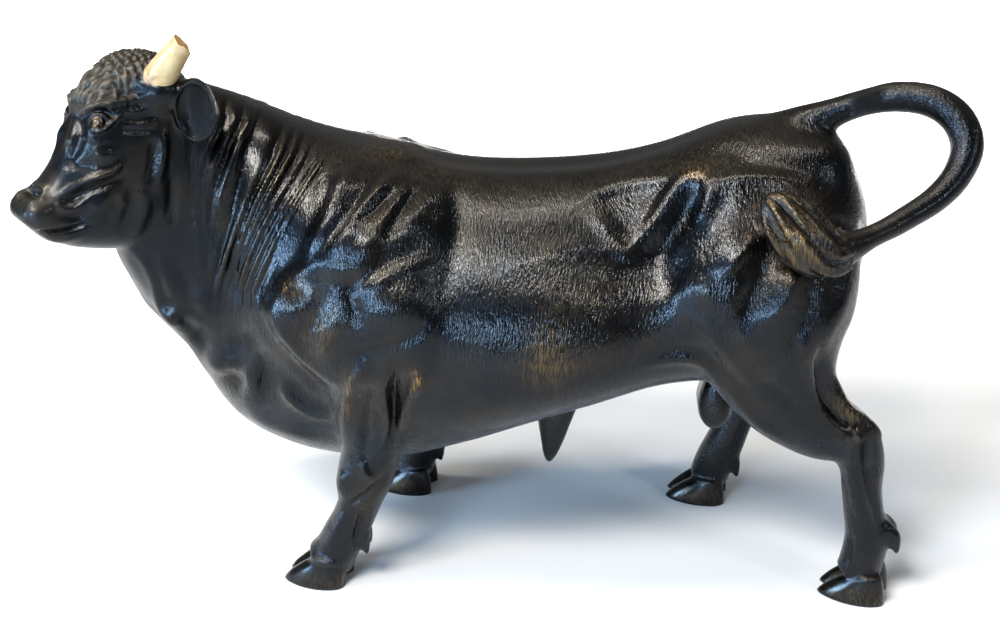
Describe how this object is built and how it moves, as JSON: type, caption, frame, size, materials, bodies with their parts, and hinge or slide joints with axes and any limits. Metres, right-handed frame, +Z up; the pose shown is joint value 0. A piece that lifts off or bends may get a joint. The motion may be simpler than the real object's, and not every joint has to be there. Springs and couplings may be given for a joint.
{
  "type": "bull sculpture",
  "caption": "Standing cast bull with its head turned, looped tail, fanned neck folds and pegged horns broken short; rests on flat hoof soles.",
  "frame": {"origin": "on the ground under the middle of the whole figure", "axes": "+Z up, the bull looks along -X, its left side faces -Y and its tail loops out along +X"},
  "size_m": [0.364, 0.1296, 0.229],
  "materials": {
    "bronze": "near-black patina, glossy, engraved all over with fine hair strokes, worn to warm metal on high points",
    "horn": "cream bone or horn, satin, stained brown at its foot and at the broken end"
  },
  "bodies": {
    "root": {"cast_bull": "bronze", "horn_left": "horn", "horn_stump_right": "horn"}
  },
  "joints": []
}
